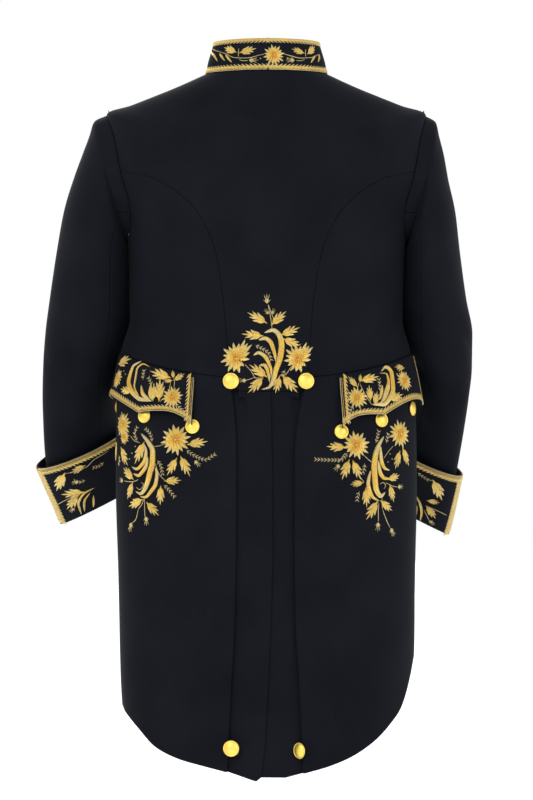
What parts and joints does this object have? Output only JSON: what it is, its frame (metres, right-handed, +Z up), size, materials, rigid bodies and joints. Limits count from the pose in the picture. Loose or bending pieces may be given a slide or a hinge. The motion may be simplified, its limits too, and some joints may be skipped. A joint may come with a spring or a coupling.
{
  "type": "ceremonial uniform tailcoat",
  "caption": "Worn-form dress uniform tailcoat with stand collar, deep turned-back cuffs, scalloped pocket flaps, pleated tails, gilt buttons and gold embroidery",
  "frame": {"origin": "centre of the neck seam, where the coat rests on the wearer's neck and shoulders", "axes": "+Z up along the body, front of the coat faces -Y, its back faces +Y, +X is the wearer's left"},
  "size_m": [0.58, 0.3333, 0.9697],
  "materials": {
    "coat_cloth": "milled wool broadcloth, matt with a faint nap",
    "trim_cloth": "stiffened wool broadcloth, worked with gold thread",
    "gilt_button": "bright gilt, softly polished"
  },
  "bodies": {
    "root": {"back": "coat_cloth", "side_body_left": "coat_cloth", "side_body_right": "coat_cloth", "front_left": "coat_cloth", "front_right": "coat_cloth", "sleeve_top_left": "coat_cloth", "sleeve_top_right": "coat_cloth", "sleeve_under_left": "coat_cloth", "sleeve_under_right": "coat_cloth", "skirt_left": "coat_cloth", "skirt_right": "coat_cloth", "tail_strip_left": "coat_cloth", "tail_strip_right": "coat_cloth", "collar": "trim_cloth", "cuff_left": "trim_cloth", "cuff_right": "trim_cloth", "flap_left": "trim_cloth", "flap_right": "trim_cloth", "waist_button_left": "gilt_button", "waist_button_right": "gilt_button", "tail_button_left": "gilt_button", "tail_button_right": "gilt_button", "flap_button_rear_left": "gilt_button", "flap_button_middle_left": "gilt_button", "flap_button_fore_left": "gilt_button", "flap_button_rear_right": "gilt_button", "flap_button_middle_right": "gilt_button", "flap_button_fore_right": "gilt_button", "front_button_1": "gilt_button", "front_button_2": "gilt_button", "front_button_3": "gilt_button", "front_button_4": "gilt_button", "front_button_5": "gilt_button", "front_button_6": "gilt_button", "front_button_7": "gilt_button", "front_button_8": "gilt_button", "front_button_9": "gilt_button"}
  },
  "joints": []
}
